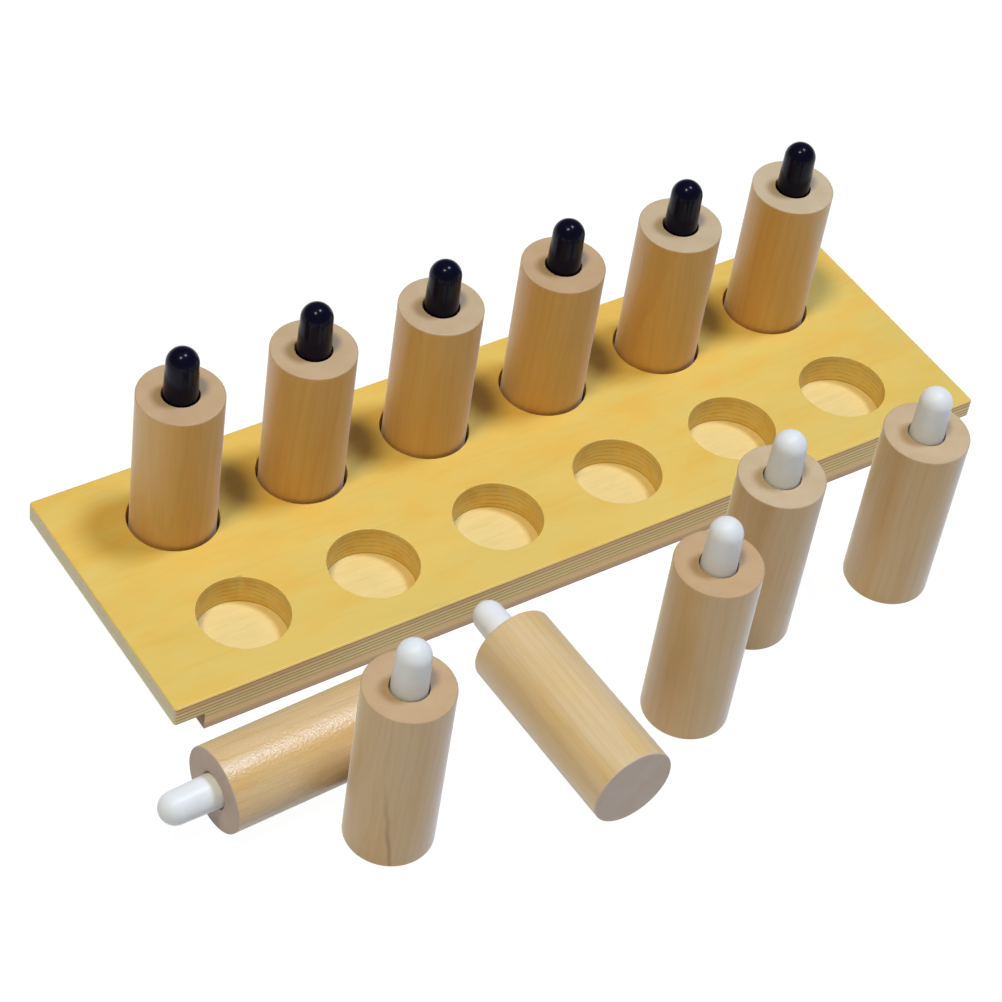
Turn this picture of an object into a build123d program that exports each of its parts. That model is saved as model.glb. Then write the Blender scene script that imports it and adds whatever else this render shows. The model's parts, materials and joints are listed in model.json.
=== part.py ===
from build123d import *
from math import cos, pi, radians, sin
import os

# A set of twelve sensory pressure cylinders on a plywood tray, in millimetres.
# Six with black knobs stand in the back row of sockets, and their six white
# partners stand or lie on the table in front. Each knob is pressed down against a
# hidden spring, and each black cylinder has a white one with the same spring.
# The origin is the middle of the tray's underside, +X runs along the tray to the
# right, +Y to the back row and +Z up.

# Turned cylinder
cylinder_diameter = 30
cylinder_length = 70
cylinder_wall = 6
collar_thickness = 8
plug_length = 8
glue_line = 0.05

# Plunger with its knob
knob_diameter = 12
knob_nose_diameter = 11.3
knob_clearance = 0.5
press_travel = 14
pressed_knob_height = 5.5
flange_thickness = 4
flange_clearance = 0.5
flange_seat_gap = 0.2
stem_diameter = 9
stem_stop_gap = 0.3

# Compression spring, one wire size for each pair of cylinders
thinnest_wire = 0.6
wire_step = 0.1
open_turns = 5
closed_turns = 1
closed_turn_gap = 0.5
spring_seat_gap = 0.1
facets_per_turn = 8

# Tray and its two rows of sockets
board_thickness = 12
base_thickness = 3
socket_count = 6
row_count = 2
socket_clearance = 1
web_along_row = 18.5
web_between_rows = 17
end_margin = 24.5
side_margin = 11.5
tray_corner_radius = 1
board_edge_ease = 0.6
grip_reach = 11.25
grip_rebate = 4.5

# Loose white cylinders. Places are shares of the tray's length from its middle, and
# of the cylinder's diameter out from the tray's front edge. A standing cylinder is
# placed by its axis and a lying one by the tip of its knob.
standing_place_shares = {
    2: (-0.37, 2.1147),
    4: (-0.021, 2.1337),
    5: (0.1068, 1.362),
    6: (0.2801, 1.53),
}
lying_place_shares = {
    1: (-0.5739, 1.1687),
    3: (-0.1609, 0.1747),
}
lying_angles = {1: 2.1, 3: -88.65}

# One overrun carries every cut clear of the face that it starts from.
overrun = 1

# Sizes that follow from those above
cylinder_radius = cylinder_diameter / 2
bore_radius = cylinder_radius - cylinder_wall
knob_radius = knob_diameter / 2
nose_radius = knob_nose_diameter / 2
knob_hole_radius = knob_radius + knob_clearance
flange_radius = bore_radius - flange_clearance
stem_radius = stem_diameter / 2
coil_radius = (stem_radius + bore_radius) / 2

# Heights above a cylinder's flat end
bore_top = cylinder_length - collar_thickness
flange_top = bore_top - flange_seat_gap
flange_bottom = flange_top - flange_thickness
stem_foot = plug_length + stem_stop_gap + press_travel
knob_top = cylinder_length + press_travel + pressed_knob_height
nose_base = knob_top - nose_radius

# The tray's overall size, from its sockets outwards
socket_radius = cylinder_radius + socket_clearance
socket_pitch = 2 * socket_radius + web_along_row
row_spacing = 2 * socket_radius + web_between_rows
tray_length = socket_pitch * (socket_count - 1) + 2 * (socket_radius + end_margin)
tray_width = row_spacing * (row_count - 1) + 2 * (socket_radius + side_margin)
base_length = tray_length - 2 * grip_reach
first_socket_x = -socket_pitch * (socket_count - 1) / 2
back_row_y = row_spacing * (row_count - 1) / 2
front_edge_y = -tray_width / 2

os.makedirs("parts", exist_ok=True)


def hand_over(piece, name):
    """Label a finished piece and write it to its own file."""
    piece.part.label = name
    export_step(piece.part, f"parts/{name}.step")


def axial_plane(seat):
    """The plane through a cylinder's axis: its X is the radius, its Y the height."""
    return Plane(origin=seat.origin, x_dir=seat.x_dir, z_dir=-seat.y_dir)


def standing_seat(x, y, z):
    """The plane under a standing cylinder."""
    return Plane(origin=(x, y, z), x_dir=(1, 0, 0), z_dir=(0, 0, 1))


def lying_seat(x, y, angle):
    """The plane at the flat end of a cylinder that lies on the table.

    x and y are the tip of its knob, and the angle points from there to its flat end.
    """
    run = Vector(cos(radians(angle)), sin(radians(angle)), 0)
    flat_end = Vector(x, y, cylinder_radius) + run * knob_top
    return Plane(origin=flat_end, x_dir=(0, 0, 1), z_dir=-run)


def build_body(seat, name):
    """The turned wooden body, bored from below up to the collar that holds the knob."""
    with BuildPart() as body:
        with BuildSketch(seat):
            Circle(cylinder_radius)
        extrude(amount=cylinder_length)
        with BuildSketch(seat):
            Circle(bore_radius)
        extrude(amount=bore_top, mode=Mode.SUBTRACT)
        with BuildSketch(seat.offset(bore_top)):
            Circle(knob_hole_radius)
        extrude(amount=collar_thickness + overrun, mode=Mode.SUBTRACT)
    hand_over(body, name)


def build_plug(seat, name):
    """The disc glued into the bore's mouth, flush with the flat end."""
    with BuildPart() as plug:
        with BuildSketch(seat):
            Circle(bore_radius - glue_line)
        extrude(amount=plug_length)
    hand_over(plug, name)


def build_plunger(seat, name):
    """Knob, flange and spring stem, turned in one piece.

    The knob tapers a little towards its round nose, and its flange rests under the
    collar. The stem keeps the spring straight and stops the travel at the plug.
    """
    with BuildPart() as plunger:
        with BuildSketch(axial_plane(seat)):
            with BuildLine():
                RadiusArc((0, knob_top), (nose_radius, nose_base), nose_radius)
                Polyline(
                    (nose_radius, nose_base),
                    (knob_radius, cylinder_length),
                    (knob_radius, flange_top),
                    (flange_radius, flange_top),
                    (flange_radius, flange_bottom),
                    (stem_radius, flange_bottom),
                    (stem_radius, stem_foot),
                    (0, stem_foot),
                    (0, knob_top),
                )
            make_face()
        revolve(axis=Axis(seat.origin, seat.z_dir))
    hand_over(plunger, name)


def spring_points(wire):
    """Points along the coil: closed turns at both ends, open turns between."""
    low = plug_length + spring_seat_gap + wire / 2
    high = flange_bottom - spring_seat_gap - wire / 2
    closed_pitch = wire + closed_turn_gap
    open_pitch = (high - low - 2 * closed_turns * closed_pitch) / open_turns
    turns = open_turns + 2 * closed_turns
    points = []
    for step in range(turns * facets_per_turn + 1):
        turn = step / facets_per_turn
        opened = min(max(turn - closed_turns, 0), open_turns)
        height = low + closed_pitch * (turn - opened) + open_pitch * opened
        angle = 2 * pi * turn
        points.append((coil_radius * cos(angle), coil_radius * sin(angle), height))
    return points


def least_coil_gap(points, wire):
    """The least space between a turn and the turns beyond it, from the coil's points."""
    gaps = []
    for index, point in enumerate(points):
        for other in points[index + facets_per_turn // 2:]:
            gaps.append((other - point).length - wire)
    return min(gaps)


def build_spring(seat, wire, name):
    """The coil, one unbroken square-sectioned wire on a faceted helix."""
    points = [seat.from_local_coords(Vector(*point)) for point in spring_points(wire)]
    print(name, "least gap between turns", round(least_coil_gap(points, wire), 2), "mm")
    with BuildPart() as spring:
        with BuildLine() as coil:
            Polyline(*points)
        start = Plane(origin=points[0], z_dir=coil.line % 0)
        with BuildSketch(start):
            Rectangle(wire, wire)
        sweep(path=coil.line, transition=Transition.RIGHT)
    hand_over(spring, name)


def build_cylinder(seat, colour, grade):
    """The four pieces of one pressure cylinder, on its seat plane."""
    name = f"{colour}_{grade}"
    wire = thinnest_wire + wire_step * (grade - 1)
    build_body(seat, f"{name}_cylinder")
    build_plug(seat, f"{name}_base_plug")
    build_spring(seat, wire, f"{name}_spring")
    build_plunger(seat, f"{name}_plunger")


# Tray board: plywood with twelve sockets bored right through and both ends
# undercut, so that fingers can get under them.
with BuildPart() as tray_board:
    with BuildSketch(Plane.XY.offset(base_thickness)):
        RectangleRounded(tray_length, tray_width, tray_corner_radius)
    extrude(amount=board_thickness)
    top_rim = tray_board.faces().sort_by(Axis.Z)[-1].edges()
    chamfer(top_rim, length=board_edge_ease)
    with BuildSketch(Plane.XY.offset(base_thickness)):
        with GridLocations(socket_pitch, row_spacing, socket_count, row_count):
            Circle(socket_radius)
    extrude(amount=board_thickness, mode=Mode.SUBTRACT)
    with BuildSketch(Plane.XY.offset(base_thickness)):
        with GridLocations(tray_length, 0, 2, 1):
            Rectangle(2 * grip_reach, tray_width + overrun)
    extrude(amount=grip_rebate, mode=Mode.SUBTRACT)
hand_over(tray_board, "tray_board")

# Base sheet: closes the sockets from below and stops short of the finger grips.
with BuildPart() as base_sheet:
    with BuildSketch():
        Rectangle(base_length, tray_width)
    extrude(amount=base_thickness)
hand_over(base_sheet, "base_sheet")

# Black cylinders in the back row, standing on the base sheet inside their sockets.
for grade in range(1, socket_count + 1):
    socket_x = first_socket_x + socket_pitch * (grade - 1)
    build_cylinder(standing_seat(socket_x, back_row_y, base_thickness), "black", grade)

# White cylinders on the table, four standing and two lying.
for grade, (length_share, reach_share) in standing_place_shares.items():
    x = tray_length * length_share
    y = front_edge_y - cylinder_diameter * reach_share
    build_cylinder(standing_seat(x, y, 0), "white", grade)

for grade, (length_share, reach_share) in lying_place_shares.items():
    x = tray_length * length_share
    y = front_edge_y - cylinder_diameter * reach_share
    build_cylinder(lying_seat(x, y, lying_angles[grade]), "white", grade)
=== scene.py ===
import json
import math
import random

import bmesh
import bpy
from mathutils import Matrix, Vector


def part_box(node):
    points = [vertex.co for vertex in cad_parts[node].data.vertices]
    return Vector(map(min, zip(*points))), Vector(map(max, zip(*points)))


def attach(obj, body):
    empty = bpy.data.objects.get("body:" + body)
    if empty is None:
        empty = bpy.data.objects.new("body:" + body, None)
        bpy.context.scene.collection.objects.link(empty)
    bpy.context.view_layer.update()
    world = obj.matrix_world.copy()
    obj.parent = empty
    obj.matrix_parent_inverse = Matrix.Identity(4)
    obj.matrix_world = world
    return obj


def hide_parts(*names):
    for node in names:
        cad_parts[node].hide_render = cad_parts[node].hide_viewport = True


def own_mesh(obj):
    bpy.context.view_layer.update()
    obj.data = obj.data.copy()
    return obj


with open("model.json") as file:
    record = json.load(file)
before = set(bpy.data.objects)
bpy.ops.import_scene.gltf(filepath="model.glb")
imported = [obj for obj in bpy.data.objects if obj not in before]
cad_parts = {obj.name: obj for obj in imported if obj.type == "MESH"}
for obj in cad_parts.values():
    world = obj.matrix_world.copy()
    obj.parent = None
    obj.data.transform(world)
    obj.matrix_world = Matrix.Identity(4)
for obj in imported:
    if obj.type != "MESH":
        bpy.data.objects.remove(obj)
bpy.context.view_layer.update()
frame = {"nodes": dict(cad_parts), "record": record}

# The looks of a set of twelve pressure cylinders and their plywood tray, in metres.
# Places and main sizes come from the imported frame. Each cylinder is built about its
# own axis, from its flat end upwards, and then set on its seat.

mm = 0.001
joints = {joint["name"]: joint for joint in frame["record"]["behaviour"]["joints"]}
mounts = {mount["name"]: mount for mount in frame["record"]["mounts"]}

COLOURS = ("black", "white")
GRADES = range(1, 7)


def corners_of(node):
    """The lowest and the highest corner of a node at rest."""
    return [Vector(corner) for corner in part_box(node)]


# Sizes read from the frame
board_low, board_high = corners_of("tray_board")
sheet_high = corners_of("base_sheet")[1]
body_low, body_high = corners_of("black_1_cylinder")
plug_low, plug_high = corners_of("black_1_base_plug")
plunger_low, plunger_high = corners_of("black_1_plunger")
socket_radius = mounts["front_socket_1"]["dims"]["r_mm"] * mm
board_top = board_high.z
board_bottom = board_low.z
board_thickness = board_top - board_bottom
base_reach = sheet_high.x
cylinder_radius = (body_high.x - body_low.x) / 2
cylinder_length = body_high.z - body_low.z
plug_length = plug_high.z - plug_low.z
flange_radius = (plunger_high.x - plunger_low.x) / 2
knob_top = plunger_high.z - body_low.z
stem_foot = plunger_low.z - body_low.z

# Sizes inside a cylinder
bore_radius = 9 * mm
bore_top = 62 * mm
plug_gap = 0.005 * mm
knob_hole_radius = 6.5 * mm
knob_radius = 6 * mm
nose_radius = 5.65 * mm
flange_seat_gap = 0.2 * mm
flange_thickness = 4 * mm
flange_top = bore_top - flange_seat_gap
flange_bottom = flange_top - flange_thickness
stem_radius = 4.5 * mm
body_edge_round = 0.5 * mm
small_edge_round = 0.25 * mm

# Springs, one wire size for each pair of cylinders
thinnest_wire = 0.6 * mm
wire_step = 0.1 * mm
coil_radius = 6.75 * mm
open_turns = 5
closed_turns = 1
closed_turn_gap = 0.5 * mm
spring_seat_gap = 0.1 * mm

# Sizes of the board's edges
corner_radius = 1 * mm
board_edge_round = 0.6 * mm
socket_edge_round = 0.3 * mm
grip_height = 4.5 * mm

# A small chip in a front socket's back rim: the socket, then the chip's angle, width
# and depth outwards, how far it reaches down the wall, and how much of its depth it
# also goes down
chipped_socket = 0
chip_angle = math.radians(65.5)
chip_width = 1.7 * mm
chip_depth = 0.5 * mm
chip_reach = 2 * mm
chip_drop_share = 0.6

# Fineness of the meshes
support = 0.06 * mm
round_steps = 5
nose_steps = 14
body_segments = 128
knob_segments = 64
socket_segments = 160
corner_segments = 12
coil_steps = 40
wire_sides = 10
floor_segments = 96
sharp_angle = math.radians(32)
tiny = 1e-7

# The board's veneers from its top down, along its sides and at its ends: the depth
# where each ends, and its colour. The ends' layers are paler and greyer than the sides',
# partly painted reflected light. The ends of the foot, under the lips, are one dark
# brown that is painted shadow.
SIDE_LAYERS = (
    (0.6 * mm, (255, 228, 140)),
    (1.1 * mm, (180, 142, 74)),
    (2.4 * mm, (236, 200, 146)),
    (2.9 * mm, (192, 162, 98)),
    (4.0 * mm, (252, 226, 168)),
    (4.5 * mm, (188, 162, 94)),
    (5.4 * mm, (250, 224, 160)),
    (5.9 * mm, (192, 170, 102)),
    (7.0 * mm, (246, 226, 158)),
    (7.5 * mm, (188, 166, 98)),
    (8.6 * mm, (250, 222, 162)),
    (9.1 * mm, (204, 176, 112)),
    (12.0 * mm, (244, 212, 154)),
)
END_LAYERS_PARTLY_PAINTED_LIGHT = (
    (0.55 * mm, (240, 214, 138)),
    (1.0 * mm, (212, 192, 142)),
    (2.7 * mm, (226, 210, 176)),
    (3.8 * mm, (210, 206, 166)),
    (4.7 * mm, (230, 212, 180)),
    (5.1 * mm, (208, 198, 160)),
    (6.0 * mm, (226, 216, 180)),
    (6.9 * mm, (216, 214, 170)),
    (8.0 * mm, (228, 212, 176)),
    (12.0 * mm, (206, 196, 156)),
)
FOOT_END_PAINTED_SHADOW = (132, 88, 44)

# The base sheet's layers from the table up, and its ends
SHEET_LAYERS = (
    (0.6 * mm, (180, 142, 138)),
    (1.4 * mm, (216, 178, 144)),
    (1.7 * mm, (180, 150, 106)),
    (3.0 * mm, (222, 190, 138)),
)
SHEET_END = (158, 116, 84)

# Linear colours of the turned sides, by the knob's colour or for one cylinder
SIDES = {
    "black": (0.70, 0.405, 0.105),
    "white": (0.61, 0.41, 0.18),
    "white_1": (0.75, 0.53, 0.25),
    "white_3": (0.75, 0.56, 0.29),
}

# Linear colours of the ends. A standing cylinder's knob end lies between two woods,
# and its paleness says how far it is from the reddish one to the pale one.
# The base end's greyer, cooler tone is partly painted cool side light
BASE_END = (0.62, 0.51, 0.43)
# A lying cylinder's knob end is a greyer, cooler copy of the end wood: painted cool light on an end that
# faces sideways
LYING_KNOB_END_PAINTED_COOL = (0.52, 0.41, 0.33)
REDDISH_END = Vector((0.56, 0.38, 0.21))
PALE_END = Vector((0.60, 0.47, 0.30))
PALENESS = {
    "black_1": 0.1, "black_2": 0.35, "black_3": 0.6, "black_4": 0.0, "black_5": 0.9, "black_6": 1.2,
    "white_2": 0.1, "white_4": -0.05, "white_5": 0.8, "white_6": 0.65,
}

# Weight of the pale sheen on the turned sides, and its tint
BLOOM = {"black": 0.35, "white": 0.6}
BLOOM_TINT = (0.88, 0.93, 1.0, 1.0)

# The lacquer's unevenness: its size, its depth and its lowest roughness
PLAIN_SKIN = (0.5 * mm, 0.01 * mm, 0.42)
SKINS = {"white_1": (0.8 * mm, 0.19 * mm, 0.25)}

# A dark line in the grain: its angle at the foot, drift over its height, height and width
GRAIN_LINES = {"white_2": (math.radians(-119.5), math.radians(-22), 42 * mm, 1.1 * mm)}
GRAIN_LINE_TONE = (0.62, 0.5, 0.42, 1.0)

# Darkest tone of a painted shade that darkens a lying cylinder's side towards its underside
PAINTED_UNDERSIDE_SHADE = {"white_1": (0.6, 0.55, 0.5)}

# Seeds of the white cylinders' woods come after those of the black ones.
SEED_START = {"black": 0, "white": 10}

# The knobs' linear colour, lowest and highest roughness, and specular level
# The blue in both colours is partly painted: the bluish reflection of the light overhead on the domes
KNOBS = {
    "black": ((0.004, 0.004, 0.016, 1.0), 0.17, 0.2, 0.11),
    "white": ((0.84, 0.885, 0.92, 1.0), 0.32, 0.37, 0.25),
}

# The room: floor, lamps (name, direction towards it, colour, strength, width in degrees)
# and the world's light from the horizon to overhead
floor_radius = 2.5
floor_gap = 0.2 * mm
LAMPS = (
    ("warm_left_lamp", (-0.335, -0.105, 1.0), (1.15, 1.0, 0.67), 1.40, 10),
    ("cool_right_lamp", (0.30, -0.045, 1.0), (0.84, 1.0, 1.31), 1.45, 11),
)
WORLD_LIGHT = (
    (0.0, (0.3, 0.3, 0.3)), (0.25, (0.17, 0.17, 0.17)), (0.55, (0.1, 0.105, 0.13)), (1.0, (0.09, 0.1, 0.15)),
)

# The photograph's camera, fitted to the tray's corners and the cylinders
camera_azimuth = math.radians(-39.50)
camera_elevation = math.radians(44.91)
camera_roll = math.radians(9.62)
camera_aim = Vector((-0.02041, -0.01875, 0.015))
camera_distance = 1.0783
camera_sensor_mm = 36
camera_lens_mm = 111.28
camera_clip_start = 0.05


# Meshes

def finish_mesh(name, bm, materials):
    """An object from a bmesh, smooth but for its sharp edges."""
    bmesh.ops.recalc_face_normals(bm, faces=bm.faces)
    mesh = bpy.data.meshes.new(name)
    bm.to_mesh(mesh)
    bm.free()
    for material in materials:
        mesh.materials.append(material)
    mesh.shade_smooth()
    mesh.set_sharp_from_angle(angle=sharp_angle)
    piece = bpy.data.objects.new(name, mesh)
    bpy.context.scene.collection.objects.link(piece)
    return piece


def rounded_profile(corners):
    """Points of a closed outline whose corners (radius, height, rounding) are rounded off."""
    points = []
    count = len(corners)
    for index, (r, z, rounding) in enumerate(corners):
        here = Vector((r, z))
        if rounding == 0:
            points.append(here)
            continue
        before = (Vector(corners[index - 1][:2]) - here).normalized()
        after = (Vector(corners[(index + 1) % count][:2]) - here).normalized()
        half_turn = before.angle(after) / 2
        reach = rounding / math.tan(half_turn)
        centre = here + (before + after).normalized() * rounding / math.sin(half_turn)
        start = here + before * reach
        end = here + after * reach
        points.append(start + before * support)
        first, last = start - centre, end - centre
        for step in range(round_steps + 1):
            share = step / round_steps
            points.append(centre + first.slerp(last, share) * rounding)
        points.append(end + after * support)
    return points


def lathe(bm, points, segments, closed=True):
    """Turn an outline of (radius, height) points about the Z axis. Points on the axis stay single."""
    rings = []
    for r, z in points:
        if r < tiny:
            rings.append([bm.verts.new((0, 0, z))])
            continue
        ring = []
        for step in range(segments):
            angle = 2 * math.pi * step / segments
            ring.append(bm.verts.new((r * math.cos(angle), r * math.sin(angle), z)))
        rings.append(ring)
    following = rings[1:] + rings[:1] if closed else rings[1:]
    for lower, upper in zip(rings, following):
        if len(lower) == 1 and len(upper) == 1:
            continue
        for step in range(segments):
            after = (step + 1) % segments
            if len(lower) == 1:
                bm.faces.new((lower[0], upper[step], upper[after]))
            elif len(upper) == 1:
                bm.faces.new((lower[step], upper[0], lower[after]))
            else:
                bm.faces.new((lower[step], lower[after], upper[after], upper[step]))


def mark_end_faces(bm, slots):
    """Give an end's faces, with its rounded rim, a slot of their own, from pairs (height, slot)."""
    least_facing = 0.3
    bm.normal_update()
    for face in bm.faces:
        for height, slot in slots:
            is_near = abs(face.calc_center_median().z - height) < body_edge_round
            if is_near and abs(face.normal.z) > least_facing:
                face.material_index = slot


def body_piece(name, materials):
    """The turned wooden body, with its bore, collar and knob hole."""
    bm = bmesh.new()
    lathe(bm, rounded_profile([
        (bore_radius, 0, 0),
        (cylinder_radius, 0, body_edge_round),
        (cylinder_radius, cylinder_length, body_edge_round),
        (knob_hole_radius, cylinder_length, small_edge_round),
        (knob_hole_radius, bore_top, 0),
        (bore_radius, bore_top, 0),
    ]), body_segments)
    mark_end_faces(bm, ((cylinder_length, 1), (0, 2)))
    return finish_mesh(name, bm, materials)


def plug_piece(name, materials):
    """The disc glued flush into the bore's mouth."""
    bm = bmesh.new()
    radius = bore_radius - plug_gap
    lathe(bm, rounded_profile([
        (0, 0, 0),
        (radius, 0, 0),
        (radius, plug_length, small_edge_round),
        (0, plug_length, 0),
    ]), body_segments, closed=False)
    mark_end_faces(bm, ((plug_length, 1), (0, 2)))
    return finish_mesh(name, bm, materials)


def plunger_piece(name, materials):
    """Round-nosed knob, flange and spring stem in one."""
    bm = bmesh.new()
    nose_base = knob_top - nose_radius
    nose = [(0, knob_top)]
    for step in range(1, nose_steps):
        angle = math.pi / 2 * (1 - step / nose_steps)
        nose.append((nose_radius * math.cos(angle), nose_base + nose_radius * math.sin(angle)))
    shank = rounded_profile([
        (knob_radius, cylinder_length, 0),
        (knob_radius, flange_top, 0),
        (flange_radius, flange_top, small_edge_round),
        (flange_radius, flange_bottom, small_edge_round),
        (stem_radius, flange_bottom, 0),
        (stem_radius, stem_foot, small_edge_round),
        (0, stem_foot, 0),
    ])
    points = nose + [(nose_radius, nose_base)] + [tuple(point) for point in shank]
    lathe(bm, points, knob_segments, closed=False)
    return finish_mesh(name, bm, materials)


def coil_points(wire):
    """Points along the spring: a closed turn at each end, open turns between."""
    low = plug_length + spring_seat_gap + wire / 2
    high = flange_bottom - spring_seat_gap - wire / 2
    closed_pitch = wire + closed_turn_gap
    open_pitch = (high - low - 2 * closed_turns * closed_pitch) / open_turns
    points = []
    for step in range((open_turns + 2 * closed_turns) * coil_steps + 1):
        turn = step / coil_steps
        opened = min(max(turn - closed_turns, 0), open_turns)
        height = low + closed_pitch * (turn - opened) + open_pitch * opened
        angle = 2 * math.pi * turn
        points.append(Vector((coil_radius * math.cos(angle), coil_radius * math.sin(angle), height)))
    return points


def spring_piece(name, wire, materials):
    """A coil of round wire."""
    bm = bmesh.new()
    points = coil_points(wire)
    rings = []
    for index, point in enumerate(points):
        along = points[min(index + 1, len(points) - 1)] - points[max(index - 1, 0)]
        out = Vector((point.x, point.y, 0)).normalized()
        up = along.cross(out).normalized()
        ring = []
        for side in range(wire_sides):
            angle = 2 * math.pi * side / wire_sides
            ring.append(bm.verts.new(point + (out * math.cos(angle) + up * math.sin(angle)) * wire / 2))
        rings.append(ring)
    for ring, following in zip(rings, rings[1:]):
        bridge(bm, ring, following)
    bm.faces.new(rings[0])
    bm.faces.new(rings[-1])
    return finish_mesh(name, bm, materials)


# Board mesh

def board_outline(inset):
    """The board's outline seen from above, with its corners rounded, drawn in by an inset."""
    radius = corner_radius - inset
    x = board_high.x - corner_radius
    y = board_high.y - corner_radius
    points = []
    for quarter, (side_x, side_y) in enumerate(((1, 1), (-1, 1), (-1, -1), (1, -1))):
        for step in range(corner_segments + 1):
            angle = math.pi / 2 * (quarter + step / corner_segments)
            points.append(Vector((
                side_x * x + radius * math.cos(angle), side_y * y + radius * math.sin(angle),
            )))
        if quarter in (0, 2):
            # Where the undercut ends begin, on the back side and then on the front side
            points.append(Vector((side_x * base_reach, side_y * (board_high.y - inset))))
            points.append(Vector((-side_x * base_reach, side_y * (board_high.y - inset))))
    return points


def ring_of(bm, points, height):
    """A closed ring of new points at one height."""
    return [bm.verts.new((point.x, point.y, height)) for point in points]


def bridge(bm, ring, following, slot=0):
    """Faces between two closed rings of as many points, all in one material slot."""
    count = len(ring)
    for index in range(count):
        after = (index + 1) % count
        face = bm.faces.new((ring[index], ring[after], following[after], following[index]))
        face.material_index = slot


def closed_edges(bm, ring):
    """The edges round a closed ring of points, made where they are missing."""
    edges = []
    for here, after in zip(ring, ring[1:] + ring[:1]):
        edge = bm.edges.get((here, after))
        edges.append(edge if edge else bm.edges.new((here, after)))
    return edges


def edge_rings(rounding):
    """Steps (inset, drop) of a rounded rim, from the level top over to the upright wall."""
    steps = [(rounding + support, 0)]
    for step in range(round_steps + 1):
        angle = math.pi / 2 * step / round_steps
        steps.append((rounding * (1 - math.sin(angle)), rounding * (1 - math.cos(angle))))
    steps.append((0, rounding + support))
    return steps


def socket_places():
    """Centres of the twelve sockets: the open front row, then the row of black cylinders."""
    places = []
    for grade in GRADES:
        places.append(Vector(mounts[f"front_socket_{grade}"]["pos_m"][:2]))
    for grade in GRADES:
        low, high = corners_of(f"black_{grade}_cylinder")
        places.append(((low + high) / 2).xy)
    return places


def chipped(index, angle, drop):
    """How far the chip in a socket's rim pushes a point (outwards, down)."""
    if index != chipped_socket:
        return 0, 0
    away = abs(math.remainder(angle - chip_angle, 2 * math.pi)) * socket_radius
    share = max(0, 1 - (away / (chip_width / 2)) ** 2)
    fade = max(0, 1 - drop / chip_reach)
    return chip_depth * share * fade, chip_drop_share * chip_depth * share * fade


def socket_rings(bm, index, place):
    """A socket's rings of points, from its rounded rim down to the board's underside."""
    rings = []
    for inset, drop in edge_rings(socket_edge_round) + [(0, board_thickness)]:
        ring = []
        for step in range(socket_segments):
            angle = 2 * math.pi * step / socket_segments
            outwards, down = chipped(index, angle, drop)
            radius = socket_radius + inset + outwards
            ring.append(bm.verts.new((
                place.x + radius * math.cos(angle),
                place.y + radius * math.sin(angle),
                board_top - drop - down if drop else board_top,
            )))
        rings.append(ring)
    return rings


def board_piece(name, materials):
    """The plywood board with its twelve sockets and undercut ends.

    Slot 0 is its veneer, slot 1 its cut edges and slot 2 the walls of its sockets.
    """
    bm = bmesh.new()
    rings = []
    for inset, drop in edge_rings(board_edge_round):
        rings.append(ring_of(bm, board_outline(inset), board_top - drop))
    top_edges = closed_edges(bm, rings[0])
    outline = board_outline(0)
    rings.append(ring_of(bm, outline, board_bottom + grip_height))
    for ring, following in zip(rings, rings[1:]):
        bridge(bm, ring, following, slot=1)

    # Underside: the two lips at the undercut's height, and the foot between them
    lip_ring = rings[-1]
    marks = [index for index, point in enumerate(outline) if abs(abs(point.x) - base_reach) < tiny]
    bm.faces.new(lip_ring[marks[1]:marks[2] + 1])
    bm.faces.new(lip_ring[marks[3]:] + lip_ring[:marks[0] + 1])
    foot = ring_of(bm, [outline[index] for index in marks], board_bottom)
    bridge(bm, [lip_ring[index] for index in marks], foot, slot=1)
    bottom_edges = closed_edges(bm, foot)

    # Sockets
    for index, place in enumerate(socket_places()):
        rings = socket_rings(bm, index, place)
        for ring, following in zip(rings, rings[1:]):
            bridge(bm, ring, following, slot=2)
        top_edges += closed_edges(bm, rings[0])
        bottom_edges += closed_edges(bm, rings[-1])
    bmesh.ops.triangle_fill(bm, use_beauty=True, use_dissolve=False, edges=top_edges)
    bmesh.ops.triangle_fill(bm, use_beauty=True, use_dissolve=False, edges=bottom_edges)
    veneer_bottom = board_top - 0.3 * mm
    for face in bm.faces:
        if min(vert.co.z for vert in face.verts) > veneer_bottom:
            face.material_index = 0
    return finish_mesh(name, bm, materials)


# Shader nodes

def srgb(red, green, blue):
    """A colour given in the 0 to 255 steps of a picture, as linear values."""
    linear = []
    for step in (red, green, blue):
        share = step / 255
        linear.append(share / 12.92 if share <= 0.04045 else ((share + 0.055) / 1.055) ** 2.4)
    return (*linear, 1.0)


def level(value):
    """A grey of one value in all channels."""
    return (value, value, value, 1.0)


def scaled(colour, factors):
    """A colour with each of its channels multiplied by its own factor."""
    return tuple(channel * factor for channel, factor in zip(colour, factors))


def new_material(name):
    """An empty material and its node tree."""
    material = bpy.data.materials.new(name)
    material.use_nodes = True
    material.node_tree.nodes.clear()
    return material, material.node_tree


def add(tree, kind, inputs=None, **settings):
    """A shader node whose inputs are set to values or wired to other nodes' outputs."""
    node = tree.nodes.new("ShaderNode" + kind)
    for key, value in settings.items():
        setattr(node, key, value)
    for key, value in (inputs or {}).items():
        if isinstance(value, bpy.types.NodeSocket):
            tree.links.new(value, node.inputs[key])
        else:
            node.inputs[key].default_value = value
    return node


def calc(tree, operation, first, second=0.0, third=0.0):
    """The result of one operation on numbers."""
    return add(tree, "Math", {0: first, 1: second, 2: third}, operation=operation).outputs[0]


def blend(tree, factor, first, second, blend_type="MIX"):
    """The first colour at factor 0, and the second at factor 1."""
    mixer = add(tree, "Mix", {0: factor, 6: first, 7: second}, data_type="RGBA", blend_type=blend_type)
    return mixer.outputs[2]


def shaded(tree, strength, colour, shade):
    """A colour multiplied by a shade, as strongly as asked for."""
    return blend(tree, strength, colour, shade, "MULTIPLY")


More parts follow.
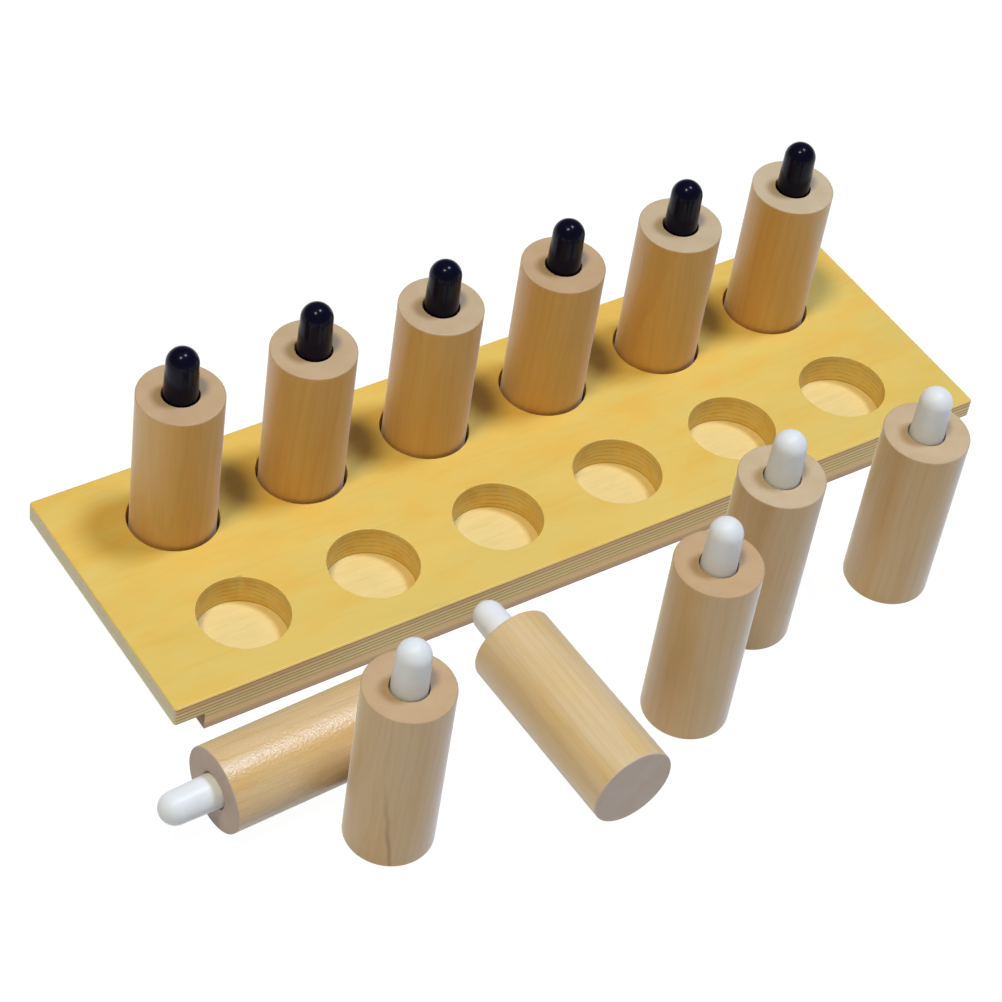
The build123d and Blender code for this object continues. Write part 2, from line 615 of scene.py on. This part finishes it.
def ramp(tree, factor, stops):
    """A colour ramp through (position, colour) stops."""
    node = add(tree, "ValToRGB", {0: factor})
    elements = node.color_ramp.elements
    while len(elements) < len(stops):
        elements.new(1.0)
    for element, (position, colour) in zip(elements, stops):
        element.position = position
        element.color = colour if len(colour) == 4 else (*colour, 1.0)
    return node.outputs[0]


def tones(tree, factor, *stops):
    """A ramp through (position, brightness) stops."""
    return ramp(tree, factor, [(position, level(value)) for position, value in stops])


def layer_ramp(tree, share, layers, thickness):
    """Colours of layers one above the other, each given by the depth where it ends."""
    soft = 0.09 * mm
    stops = []
    start = 0
    for end, colour in layers:
        stops.append(((start + soft) / thickness, srgb(*colour)))
        stops.append(((end - soft) / thickness, srgb(*colour)))
        start = end
    return ramp(tree, share, stops)


def object_place(tree):
    """Coordinates in the piece's own metres."""
    return add(tree, "TexCoord").outputs["Object"]


def part_of(tree, vector, index):
    """One coordinate of a vector: 0 is X, 1 is Y and 2 is Z."""
    return add(tree, "SeparateXYZ", {0: vector}).outputs[index]


def faces_along(tree, texture, index):
    """1 where the surface faces along one axis, either way, and 0 elsewhere."""
    least_facing = 0.7
    facing = calc(tree, "ABSOLUTE", part_of(tree, texture.outputs["Normal"], index))
    return calc(tree, "GREATER_THAN", facing, least_facing)


def stretched(tree, vector, scale, place=(0, 0, 0), turn=(0, 0, 0)):
    """Coordinates scaled, turned and moved. A scale below 1 draws a pattern out."""
    mapping = add(tree, "Mapping", {"Vector": vector, "Location": place, "Rotation": turn, "Scale": scale})
    return mapping.outputs[0]


def grain_noise(tree, vector, size, detail=2.0, roughness=0.5):
    """Noise whose blobs are about as large as the size given, in metres."""
    return add(tree, "TexNoise", {
        "Vector": vector, "Scale": 1 / size, "Detail": detail, "Roughness": roughness,
    }).outputs[0]


def remap(tree, value, low, high, to_low=0.0, to_high=1.0):
    """A value carried over from one range to another, and held at its ends."""
    return add(tree, "MapRange", {
        "Value": value, "From Min": low, "From Max": high, "To Min": to_low, "To Max": to_high,
    }).outputs[0]


def noise_range(tree, noise, to_low, to_high):
    """Noise's usual range carried over to another."""
    return remap(tree, noise, 0.3, 0.7, to_low, to_high)


def swing(tree, noise, reach):
    """Noise as a shift to either side, by the reach at most."""
    return remap(tree, noise, 0.0, 1.0, -reach, reach)


def surface(tree, colour, roughness, height=None, bump=0.0, **constants):
    """The principled shader and the output, with a bump as deep as asked for from a height."""
    inputs = {"Base Color": colour, "Roughness": roughness}
    inputs.update({key.replace("_", " "): value for key, value in constants.items()})
    if height is not None:
        inputs["Normal"] = add(tree, "Bump", {
            "Height": height, "Distance": bump, "Strength": 1.0,
        }).outputs[0]
    shader = add(tree, "BsdfPrincipled", inputs)
    add(tree, "OutputMaterial", {"Surface": shader.outputs[0]})


# Materials of the tray

def board_face():
    """Clear-lacquered yellow veneer, softly mottled, with a faint figure along the tray."""
    material, tree = new_material("board_veneer")
    place = object_place(tree)
    blotches = grain_noise(tree, stretched(tree, place, (0.45, 1.0, 1.0), (0.31, 0.12, 0)), 10 * mm)
    rim_shift = 0.12
    drift = remap(tree, part_of(tree, place, 1), board_low.y, board_high.y, rim_shift, -rim_shift)
    hue = calc(tree, "ADD", blotches, drift)
    patches = grain_noise(tree, stretched(tree, place, (0.4, 1.0, 1.0)), 18 * mm)
    streaks = grain_noise(
        tree, stretched(tree, place, (0.07, 1.0, 1.0)), 2.4 * mm, detail=3.0, roughness=0.55,
    )
    fibres = grain_noise(tree, stretched(tree, place, (0.05, 1.0, 1.0)), 0.4 * mm)
    colour = ramp(tree, hue, [
        (0.35, srgb(238, 197, 92)), (0.5, srgb(236, 202, 101)), (0.65, srgb(234, 205, 109)),
    ])
    colour = shaded(tree, 1.0, colour, tones(tree, patches, (0.32, 0.93), (0.5, 0.95), (0.68, 0.97)))
    colour = shaded(tree, 0.45, colour, tones(tree, streaks, (0.3, 0.93), (0.5, 1.0), (0.75, 0.98)))
    colour = shaded(tree, 0.35, colour, tones(tree, fibres, (0.3, 0.93), (0.45, 1.0)))
    surface(tree, colour, noise_range(tree, patches, 0.36, 0.46), height=fibres, bump=0.012 * mm)
    return material


def ply_edge():
    """Cut plywood: thin layers of veneer, browner along the sides and paler at the ends,
    where the paler, greyer tone is partly painted reflected light.

    The foot's ends, under the lips, are dark brown: painted shadow under the lips.
    """
    material, tree = new_material("board_ply_edge")
    texture = add(tree, "TexCoord")
    place = texture.outputs["Object"]
    is_end = faces_along(tree, texture, 0)
    from_middle = calc(tree, "ABSOLUTE", part_of(tree, place, 0))
    is_inner = calc(tree, "LESS_THAN", from_middle, base_reach + 1 * mm)
    wobble = grain_noise(tree, stretched(tree, place, (0.25, 0.25, 0.6)), 5 * mm)
    depth = calc(tree, "SUBTRACT", board_top, part_of(tree, place, 2))
    bent = calc(tree, "ADD", depth, swing(tree, wobble, 0.22 * mm))
    share = calc(tree, "DIVIDE", bent, board_thickness)
    side = layer_ramp(tree, share, SIDE_LAYERS, board_thickness)
    # Paler, greyer layers at the ends: partly painted reflected light
    end = layer_ramp(tree, share, END_LAYERS_PARTLY_PAINTED_LIGHT, board_thickness)
    colour = blend(tree, is_end, side, end)
    # Painted shadow: the foot's ends under the lips are one dark brown
    colour = blend(tree, calc(tree, "MULTIPLY", is_end, is_inner), colour, srgb(*FOOT_END_PAINTED_SHADOW))
    pores = grain_noise(tree, stretched(tree, place, (0.5, 0.5, 1.0)), 0.5 * mm, detail=3.0, roughness=0.6)
    colour = shaded(tree, 0.5, colour, tones(tree, pores, (0.3, 0.8), (0.5, 1.0)))
    surface(tree, colour, noise_range(tree, pores, 0.5, 0.65), height=pores, bump=0.05 * mm)
    return material


def socket_wall():
    """Bored plywood: golden brown, with thin broken lines where the veneers meet, and painted
    shade darkening the wall's foot where it meets the floor.
    """
    material, tree = new_material("board_socket_wall")
    place = object_place(tree)
    veneer = 2.0 * mm
    wobble = grain_noise(tree, place, 9 * mm)
    depth = calc(tree, "SUBTRACT", board_top, part_of(tree, place, 2))
    bent = calc(tree, "ADD", depth, swing(tree, wobble, 0.9 * mm))
    layer = calc(tree, "FRACT", calc(tree, "DIVIDE", bent, veneer))
    line = tones(tree, layer, (0.0, 0.66), (0.08, 0.7), (0.2, 1.0), (0.9, 0.95), (1.0, 0.66))
    broken = grain_noise(tree, stretched(tree, place, (1.0, 1.0, 1.0), (0.2, 0.1, 0.3)), 5 * mm)
    clouds = grain_noise(tree, place, 7 * mm)
    colour = ramp(tree, clouds, [
        (0.35, srgb(232, 196, 106)), (0.5, srgb(236, 207, 118)), (0.65, srgb(229, 204, 126)),
    ])
    colour = shaded(tree, remap(tree, broken, 0.4, 0.6, 0.3, 1.0), colour, line)
    depth_share = calc(tree, "DIVIDE", depth, board_thickness)
    # Painted shade: the wall darkens at its foot, in the crevice at the floor
    foot = tones(tree, depth_share, (0.0, 1.0), (0.94, 1.0), (0.975, 0.75), (1.0, 0.65))
    colour = shaded(tree, 1.0, colour, foot)
    surface(tree, colour, 0.55, height=broken, bump=0.03 * mm)
    return material


def sheet_wood():
    """The thin base sheet: pale veneer on its faces, brownish layers at its edge."""
    material, tree = new_material("base_sheet_wood")
    texture = add(tree, "TexCoord")
    place = texture.outputs["Object"]
    height_share = calc(tree, "DIVIDE", part_of(tree, place, 2), sheet_high.z)
    streaks = grain_noise(tree, stretched(tree, place, (0.1, 1.0, 1.0)), 2.5 * mm, detail=4.0, roughness=0.6)
    fibres = grain_noise(tree, stretched(tree, place, (0.06, 1.0, 1.0)), 0.4 * mm)
    face_colour = ramp(tree, streaks, [
        (0.3, srgb(228, 205, 138)), (0.5, srgb(231, 209, 143)), (0.7, srgb(233, 212, 147)),
    ])
    edge_colour = layer_ramp(tree, height_share, SHEET_LAYERS, sheet_high.z)
    edge_colour = blend(tree, faces_along(tree, texture, 0), edge_colour, srgb(*SHEET_END))
    colour = blend(tree, faces_along(tree, texture, 2), edge_colour, face_colour)
    colour = shaded(tree, 0.6, colour, tones(tree, fibres, (0.3, 0.9), (0.5, 1.0)))
    surface(tree, colour, noise_range(tree, fibres, 0.5, 0.62), height=fibres, bump=0.02 * mm)
    return material


# Materials of the cylinders

def log_place(tree, chance):
    """Coordinates of the log that a cylinder was turned from, with its pith off to one side."""
    most_tilt = 0.05
    pith_angle = chance.uniform(0, 2 * math.pi)
    pith_distance = chance.uniform(35, 80) * mm
    offset = (pith_distance * math.cos(pith_angle), pith_distance * math.sin(pith_angle), 0)
    tilt = (chance.uniform(-most_tilt, most_tilt), chance.uniform(-most_tilt, most_tilt), 0)
    return stretched(tree, object_place(tree), (1, 1, 1), offset, tilt)


def growth_rings(tree, log, ring_width):
    """Where a point lies across its growth ring, from 0 to 1."""
    flat = add(tree, "VectorMath", {0: log, 1: (1.0, 1.0, 0.0)}, operation="MULTIPLY").outputs[0]
    distance = add(tree, "VectorMath", {0: flat}, operation="LENGTH").outputs["Value"]
    wander = grain_noise(tree, stretched(tree, log, (1, 1, 0.25)), 22 * mm)
    most_wander = 2.2
    rings = calc(tree, "DIVIDE", distance, ring_width)
    return calc(tree, "FRACT", calc(tree, "ADD", rings, calc(tree, "MULTIPLY", wander, most_wander)))


def grain_line(tree, line):
    """How strongly a dark line of grain shows. It fades out towards its top."""
    foot_angle, drift, top, width = line
    parts = add(tree, "SeparateXYZ", {0: object_place(tree)}).outputs
    angle = calc(tree, "ARCTAN2", parts[1], parts[0])
    wander = grain_noise(tree, object_place(tree), 12 * mm)
    centre = calc(tree, "MULTIPLY_ADD", parts[2], drift / top, foot_angle)
    centre = calc(tree, "ADD", centre, swing(tree, wander, 0.08))
    away = calc(tree, "ABSOLUTE", calc(tree, "SUBTRACT", angle, centre))
    near = remap(tree, away, 0.0, width / cylinder_radius, 1.0, 0.0)
    low = remap(tree, parts[2], 0.3 * top, top, 1.0, 0.0)
    return calc(tree, "MULTIPLY", near, low)


def side_wood(name, seed, colour, skin, line, bloom, underside_shade):
    """Turned side of one cylinder: satin lacquer over fine straight grain.

    The bloom is the weight of the lacquer's pale sheen towards the outline. The
    underside shade is the darkest tone of a painted shade, darker towards the underside.
    """
    material, tree = new_material(name)
    chance = random.Random(seed)
    log = log_place(tree, chance)
    rings = growth_rings(tree, log, chance.uniform(2.6, 4.2) * mm)
    cloud = grain_noise(tree, stretched(tree, log, (1, 1, 0.3)), 14 * mm)
    bands = grain_noise(tree, stretched(tree, log, (1, 1, 0.04)), 4 * mm)
    streaks = grain_noise(tree, stretched(tree, log, (1, 1, 0.03)), 1.0 * mm, detail=3.0, roughness=0.6)
    mixed = calc(tree, "ADD", calc(tree, "MULTIPLY", cloud, 0.6), calc(tree, "MULTIPLY", bands, 0.4))
    wood = ramp(tree, mixed, [
        (0.38, scaled(colour, (1.0, 0.93, 0.76))), (0.5, colour), (0.62, scaled(colour, (1.02, 1.06, 1.2))),
    ])
    wood = shaded(tree, 0.8, wood, tones(tree, streaks, (0.3, 0.9), (0.5, 0.98), (0.7, 1.0)))
    ring_shade = tones(tree, rings, (0.0, 1.0), (0.6, 0.99), (0.9, 0.94), (0.97, 0.94), (1.0, 1.0))
    wood = shaded(tree, 0.8, wood, ring_shade)
    if line:
        wood = shaded(tree, grain_line(tree, line), wood, GRAIN_LINE_TONE)
    # Painted shade: the side grows darker towards its underside, down to the given tone
    if underside_shade:
        across = part_of(tree, object_place(tree), 0)
        toward_underside = remap(tree, across, -0.9 * cylinder_radius, 0.5 * cylinder_radius, 1.0, 0.0)
        wood = shaded(tree, toward_underside, wood, (*underside_shade, 1.0))
    skin_size, skin_depth, gloss = skin
    unevenness = grain_noise(tree, log, skin_size, roughness=0.6)
    surface(tree, wood, noise_range(tree, streaks, gloss, gloss + 0.08), height=unevenness, bump=skin_depth,
            Specular_IOR_Level=0.7, Sheen_Weight=bloom, Sheen_Roughness=0.4, Sheen_Tint=BLOOM_TINT)
    return material


def end_wood(name, seed, colour):
    """Sawn end of one cylinder: matte end grain with fine pores."""
    material, tree = new_material(name)
    log = log_place(tree, random.Random(seed))
    cloud = grain_noise(tree, stretched(tree, log, (1, 1, 0.4)), 9 * mm)
    pores = grain_noise(tree, log, 0.35 * mm, detail=3.0, roughness=0.6)
    wood = ramp(tree, cloud, [
        (0.35, scaled(colour, (0.97, 0.95, 0.92))), (0.65, scaled(colour, (1.03, 1.04, 1.06))),
    ])
    wood = shaded(tree, 0.6, wood, tones(tree, pores, (0.3, 0.88), (0.45, 1.0)))
    surface(tree, wood, noise_range(tree, pores, 0.55, 0.7), height=pores, bump=0.03 * mm)
    return material


def gloss_plastic(name, colour, low_roughness, high_roughness, specular):
    """Smooth gloss plastic, with a sheen that varies a little over the moulded surface."""
    material, tree = new_material(name)
    waves = grain_noise(tree, object_place(tree), 4 * mm)
    tinted = shaded(tree, 1.0, colour, tones(tree, waves, (0.3, 0.97), (0.7, 1.0)))
    roughness = noise_range(tree, waves, low_roughness, high_roughness)
    surface(tree, tinted, roughness, height=waves, bump=0.004 * mm, Specular_IOR_Level=specular)
    return material


def spring_steel():
    """Drawn wire with fine marks along it."""
    material, tree = new_material("spring_steel")
    marks = grain_noise(tree, object_place(tree), 0.25 * mm, detail=3.0, roughness=0.6)
    colour = ramp(tree, marks, [(0.3, srgb(120, 120, 122)), (0.7, srgb(188, 188, 190))])
    surface(tree, colour, noise_range(tree, marks, 0.25, 0.4), height=marks, bump=0.01 * mm, Metallic=1.0)
    return material


# Tray and cylinders

def make_tray():
    """The board in place of its CAD node, and the sheet's own mesh in its wood."""
    board = board_piece("lacquered_board", [board_face(), ply_edge(), socket_wall()])
    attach(board, "tray")
    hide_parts("tray_board")
    for slot in frame["nodes"]["base_sheet"].material_slots:
        slot.material = sheet_wood()


def seat_of(name):
    """Where a cylinder stands or lies: a matrix whose Z runs from its flat end to its knob."""
    towards_flat_end = Vector(joints[f"{name}_press"]["axis"]).normalized()
    low, high = corners_of(f"{name}_base_plug")
    flat_end = (low + high) / 2 + towards_flat_end * plug_length / 2
    z_axis = -towards_flat_end
    standing = abs(z_axis.z) > 0.5
    x_axis = Vector((1, 0, 0)) if standing else Vector((0, 0, 1))
    y_axis = z_axis.cross(x_axis)
    turn = Matrix((x_axis, y_axis, z_axis)).transposed().to_4x4()
    return Matrix.Translation(flat_end) @ turn


def seat_piece(piece, seat, body, node):
    """Set a piece on its cylinder's seat, on a body and in place of a CAD node."""
    piece.matrix_world = seat
    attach(piece, body)
    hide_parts(node)


def knob_end_colour(name):
    """The colour of the end that a cylinder's knob comes out of."""
    if name not in PALENESS:
        # Lying cylinders: painted cool light on the knob end, which faces sideways
        return LYING_KNOB_END_PAINTED_COOL
    return tuple(REDDISH_END.lerp(PALE_END, PALENESS[name]))


def make_cylinder(colour, grade, knob_material, steel):
    """The four pieces of one pressure cylinder."""
    name = f"{colour}_{grade}"
    body = f"{name}_body"
    seat = seat_of(name)
    seed = SEED_START[colour] + grade
    woods = [
        side_wood(f"{name}_side", seed, SIDES.get(name, SIDES[colour]), SKINS.get(name, PLAIN_SKIN),
                  GRAIN_LINES.get(name), BLOOM[colour], PAINTED_UNDERSIDE_SHADE.get(name)),
        end_wood(f"{name}_knob_end", seed, knob_end_colour(name)),
        end_wood(f"{name}_base_end", seed, BASE_END),
    ]
    turned = body_piece(f"{name}_turned_body", woods)
    seat_piece(turned, seat, body, f"{name}_cylinder")
    plug = plug_piece(f"{name}_plug", woods)
    seat_piece(plug, seat, body, f"{name}_base_plug")
    plunger = plunger_piece(f"{name}_knob_and_stem", [knob_material])
    seat_piece(plunger, seat, f"{name}_knob", f"{name}_plunger")
    wire = thinnest_wire + wire_step * (grade - 1)
    spring = spring_piece(f"{name}_coil", wire, [steel])
    seat_piece(spring, seat, body, f"{name}_spring")
    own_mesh(spring)


def make_cylinders():
    """All twelve, with one knob material for each colour and one steel for all springs."""
    knob_materials = {colour: gloss_plastic(f"{colour}_gloss", *KNOBS[colour]) for colour in COLOURS}
    steel = spring_steel()
    for colour in COLOURS:
        for grade in GRADES:
            make_cylinder(colour, grade, knob_materials[colour], steel)


# Floor, light and camera

def floor_disc(name, height, albedo, glow):
    """A large level disc."""
    bm = bmesh.new()
    bmesh.ops.create_circle(bm, cap_ends=True, segments=floor_segments, radius=floor_radius)
    bmesh.ops.translate(bm, vec=(0, 0, height), verts=bm.verts)
    material, tree = new_material(name)
    surface(tree, level(albedo), 0.9, Specular_IOR_Level=0.0,
            Emission_Color=level(1.0), Emission_Strength=glow)
    floor = finish_mesh(name, bm, [material])
    return floor


def make_floor():
    """A pale floor, and a duller one just under it that alone lights the object from below."""
    seen = floor_disc("pale_floor", 0, albedo=0.1, glow=0.97)
    seen.visible_diffuse = False
    seen.visible_shadow = False
    bounce = floor_disc("bounce_floor", -floor_gap, albedo=0.4, glow=0.2)
    bounce.visible_camera = False
    bounce.visible_glossy = False


def make_lamp(name, towards, colour, strength, width):
    """A soft distant lamp, from the direction towards it."""
    data = bpy.data.lights.new(name, "SUN")
    data.color = colour
    data.energy = strength
    data.angle = math.radians(width)
    lamp = bpy.data.objects.new(name, data)
    lamp.rotation_euler = Vector(towards).to_track_quat("Z", "Y").to_euler()
    bpy.context.scene.collection.objects.link(lamp)


def make_world():
    """A soft room: faint all round, a little brighter at the horizon, bluish overhead."""
    world = bpy.data.worlds.new("studio")
    bpy.context.scene.world = world
    world.use_nodes = True
    tree = world.node_tree
    tree.nodes.clear()
    up = part_of(tree, add(tree, "TexCoord").outputs["Generated"], 2)
    background = add(tree, "Background", {"Color": ramp(tree, up, WORLD_LIGHT), "Strength": 1.0})
    add(tree, "OutputWorld", {"Surface": background.outputs[0]})


def make_camera():
    """The photograph's camera, aimed at the middle of the set and rolled a little."""
    back = Vector((
        math.sin(camera_azimuth) * math.cos(camera_elevation),
        -math.cos(camera_azimuth) * math.cos(camera_elevation),
        math.sin(camera_elevation),
    ))
    right = Vector((0, 0, 1)).cross(back).normalized()
    up = back.cross(right)
    rolled_right = right * math.cos(camera_roll) + up * math.sin(camera_roll)
    rolled_up = up * math.cos(camera_roll) - right * math.sin(camera_roll)
    data = bpy.data.cameras.new("photo_camera")
    data.sensor_width = camera_sensor_mm
    data.lens = camera_lens_mm
    data.clip_start = camera_clip_start
    camera = bpy.data.objects.new("photo_camera", data)
    turn = Matrix((rolled_right, rolled_up, back)).transposed().to_4x4()
    camera.matrix_world = Matrix.Translation(camera_aim + back * camera_distance) @ turn
    bpy.context.scene.collection.objects.link(camera)
    bpy.context.scene.camera = camera


make_tray()
make_cylinders()
make_floor()
for lamp_settings in LAMPS:
    make_lamp(*lamp_settings)
make_world()
make_camera()
bpy.context.scene.view_settings.view_transform = "Standard"
